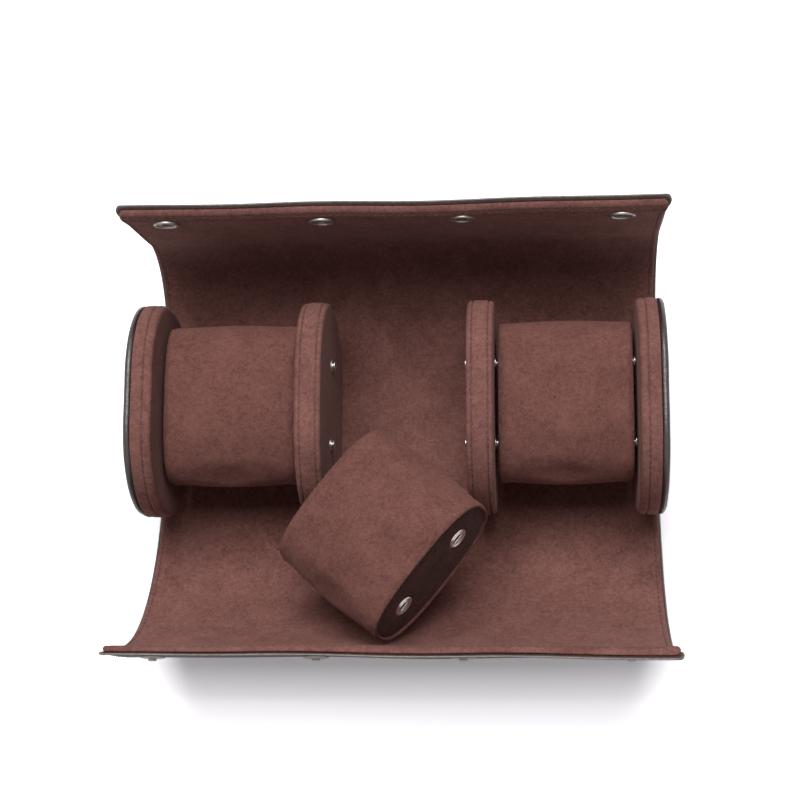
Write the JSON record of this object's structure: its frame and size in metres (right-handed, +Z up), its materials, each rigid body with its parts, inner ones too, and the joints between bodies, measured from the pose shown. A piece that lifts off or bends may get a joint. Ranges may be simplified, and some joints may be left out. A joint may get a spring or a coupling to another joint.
{
  "type": "watch travel case",
  "caption": "Watch travel roll: soft wrap with closing flaps and snap fasteners, padded end plates and dividers, and lift-out watch cushions on snap studs.",
  "frame": {"origin": "middle of the flat outer back, on the plane the roll rests on", "axes": "+X along the roll to the right, +Y towards the rear flap, +Z up out of the open roll"},
  "size_m": [0.2202, 0.1846, 0.0998],
  "materials": {
    "leather": "smooth semi-gloss dark brown coated leather",
    "piping": "leather rolled over a cord, semi-gloss",
    "suede_lining": "short-nap microsuede",
    "suede_cushion": "short-nap microsuede over foam",
    "suede_end_panel": "short-nap microsuede on stiff board",
    "board": "matt grey board",
    "foam": "matt foam",
    "snap_metal": "polished nickel-plated brass"
  },
  "bodies": {
    "case_back": {"back_leather": "leather", "back_board": "board", "back_lining": "suede_lining", "left_end_core": "board", "left_end_cover": "suede_lining", "left_end_face": "leather", "left_end_piping": "piping", "left_end_studs": "snap_metal", "right_end_core": "board", "right_end_cover": "suede_lining", "right_end_face": "leather", "right_end_piping": "piping", "right_end_studs": "snap_metal", "left_divider_core": "board", "left_divider_cover": "suede_lining", "left_divider_studs": "snap_metal", "right_divider_core": "board", "right_divider_cover": "suede_lining", "right_divider_studs": "snap_metal"},
    "left_cushion": {"left_cushion_foam": "foam", "left_cushion_cover": "suede_cushion", "left_cushion_end_panels": "suede_end_panel", "left_cushion_sockets": "snap_metal"},
    "right_cushion": {"right_cushion_foam": "foam", "right_cushion_cover": "suede_cushion", "right_cushion_end_panels": "suede_end_panel", "right_cushion_sockets": "snap_metal"},
    "loose_cushion": {"loose_cushion_foam": "foam", "loose_cushion_cover": "suede_cushion", "loose_cushion_end_panels": "suede_end_panel", "loose_cushion_sockets": "snap_metal"},
    "front_flap_1": {"front_flap_leather_1": "leather", "front_flap_lining_1": "suede_lining"},
    "front_flap_2": {"front_flap_leather_2": "leather", "front_flap_lining_2": "suede_lining"},
    "front_flap_3": {"front_flap_leather_3": "leather", "front_flap_lining_3": "suede_lining"},
    "front_flap_4": {"front_flap_leather_4": "leather", "front_flap_lining_4": "suede_lining"},
    "front_flap_5": {"front_flap_leather_5": "leather", "front_flap_lining_5": "suede_lining", "front_flap_snap_studs": "snap_metal"},
    "rear_flap_1": {"rear_flap_leather_1": "leather", "rear_flap_lining_1": "suede_lining"},
    "rear_flap_2": {"rear_flap_leather_2": "leather", "rear_flap_lining_2": "suede_lining"},
    "rear_flap_3": {"rear_flap_leather_3": "leather", "rear_flap_lining_3": "suede_lining"},
    "rear_flap_4": {"rear_flap_leather_4": "leather", "rear_flap_lining_4": "suede_lining", "rear_flap_snap_sockets": "snap_metal", "rear_flap_snap_caps": "snap_metal"}
  },
  "joints": [
    {"name": "front_flap_fold_1", "type": "hinge", "parent": "case_back", "child": "front_flap_1", "pos_m": [0, -0.02, 0.004], "axis": [-1, 0, 0], "range_deg": [0, 24]},
    {"name": "front_flap_fold_2", "type": "hinge", "parent": "front_flap_1", "child": "front_flap_2", "pos_m": [0, -0.04784, 0.00887], "axis": [-1, 0, 0], "range_deg": [0, 28]},
    {"name": "front_flap_fold_3", "type": "hinge", "parent": "front_flap_2", "child": "front_flap_3", "pos_m": [0, -0.07237, 0.0229], "axis": [-1, 0, 0], "range_deg": [0, 9]},
    {"name": "front_flap_fold_4", "type": "hinge", "parent": "front_flap_3", "child": "front_flap_4", "pos_m": [0, -0.09068, 0.04442], "axis": [-1, 0, 0], "range_deg": [0, 28]},
    {"name": "front_flap_fold_5", "type": "hinge", "parent": "front_flap_4", "child": "front_flap_5", "pos_m": [0, -0.10059, 0.07088], "axis": [-1, 0, 0], "range_deg": [0, 6]},
    {"name": "rear_flap_fold_1", "type": "hinge", "parent": "case_back", "child": "rear_flap_1", "pos_m": [0, 0.02, 0.004], "axis": [1, 0, 0], "range_deg": [0, 27]},
    {"name": "rear_flap_fold_2", "type": "hinge", "parent": "rear_flap_1", "child": "rear_flap_2", "pos_m": [0, 0.05183, 0.00871], "axis": [1, 0, 0], "range_deg": [0, 8]},
    {"name": "rear_flap_fold_3", "type": "hinge", "parent": "rear_flap_2", "child": "rear_flap_3", "pos_m": [0, 0.0716, 0.03349], "axis": [1, 0, 0], "range_deg": [0, 1]},
    {"name": "rear_flap_fold_4", "type": "hinge", "parent": "rear_flap_3", "child": "rear_flap_4", "pos_m": [0, 0.07124, 0.06589], "axis": [1, 0, 0], "range_deg": [0, 16.5]},
    {"name": "left_cushion_lift", "type": "slide", "parent": "case_back", "child": "left_cushion", "axis": [0, 0, 1], "range_m": [0, 0.09]},
    {"name": "right_cushion_lift", "type": "slide", "parent": "case_back", "child": "right_cushion", "axis": [0, 0, 1], "range_m": [0, 0.09]},
    {"name": "loose_cushion_lift", "type": "slide", "parent": "case_back", "child": "loose_cushion", "axis": [0, 0.4226, 0.9063], "range_m": [0, 0.3]}
  ],
  "couplings": [
    {"joint": "front_flap_fold_1", "follows": "loose_cushion_lift", "rad_per_m": 1.3963},
    {"joint": "front_flap_fold_2", "follows": "loose_cushion_lift", "rad_per_m": 1.629},
    {"joint": "front_flap_fold_3", "follows": "loose_cushion_lift", "rad_per_m": 0.5236},
    {"joint": "front_flap_fold_4", "follows": "loose_cushion_lift", "rad_per_m": 1.629},
    {"joint": "front_flap_fold_5", "follows": "loose_cushion_lift", "rad_per_m": 0.34907},
    {"joint": "rear_flap_fold_2", "follows": "rear_flap_fold_1", "ratio": 0.29629},
    {"joint": "rear_flap_fold_3", "follows": "rear_flap_fold_1", "ratio": 0.037036},
    {"joint": "rear_flap_fold_4", "follows": "rear_flap_fold_1", "ratio": 0.61111}
  ]
}
